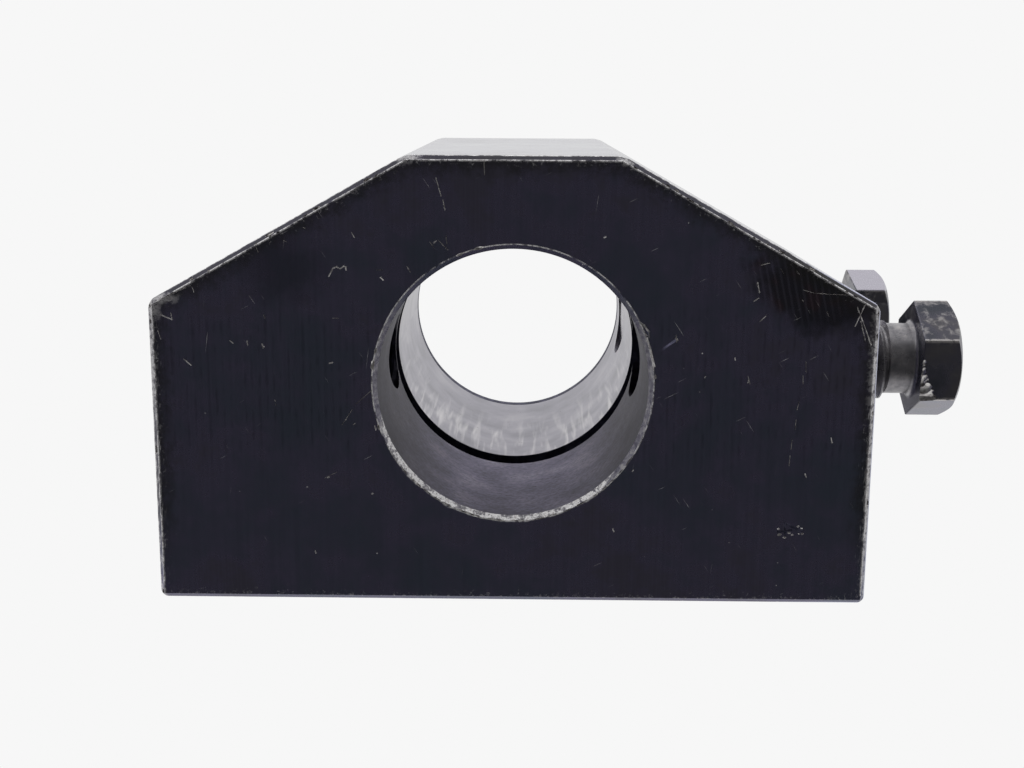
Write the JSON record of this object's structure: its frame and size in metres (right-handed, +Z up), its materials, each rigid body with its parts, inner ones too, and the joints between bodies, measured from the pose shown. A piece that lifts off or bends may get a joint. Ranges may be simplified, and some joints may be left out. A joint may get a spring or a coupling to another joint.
{
  "type": "boring bar holder",
  "caption": "Black steel boring bar holder with sloping shoulders, a grooved through bore and two hexagon-head clamp screws in one side.",
  "frame": {"origin": "centre of the flat base", "axes": "+X towards the clamp screws' heads, +Y along the bore from the front face to the back, +Z up from the base"},
  "size_m": [0.1182, 0.0762, 0.0635],
  "materials": {
    "black_oxide_steel": "ground steel with a worn black oxide coat",
    "screw_steel": "turned and milled steel with a scuffed black oxide coat"
  },
  "bodies": {
    "holder": {"holder_block": "black_oxide_steel"},
    "front_screw": {"clamp_screw_front": "screw_steel"},
    "rear_screw": {"clamp_screw_rear": "screw_steel"}
  },
  "joints": [
    {"name": "front_screw_advance", "type": "slide", "parent": "holder", "child": "front_screw", "axis": [1, 0, 0], "range_m": [-0.0103, 0.018]},
    {"name": "rear_screw_advance", "type": "slide", "parent": "holder", "child": "rear_screw", "axis": [1, 0, 0], "range_m": [-0.0088, 0.0194]}
  ]
}
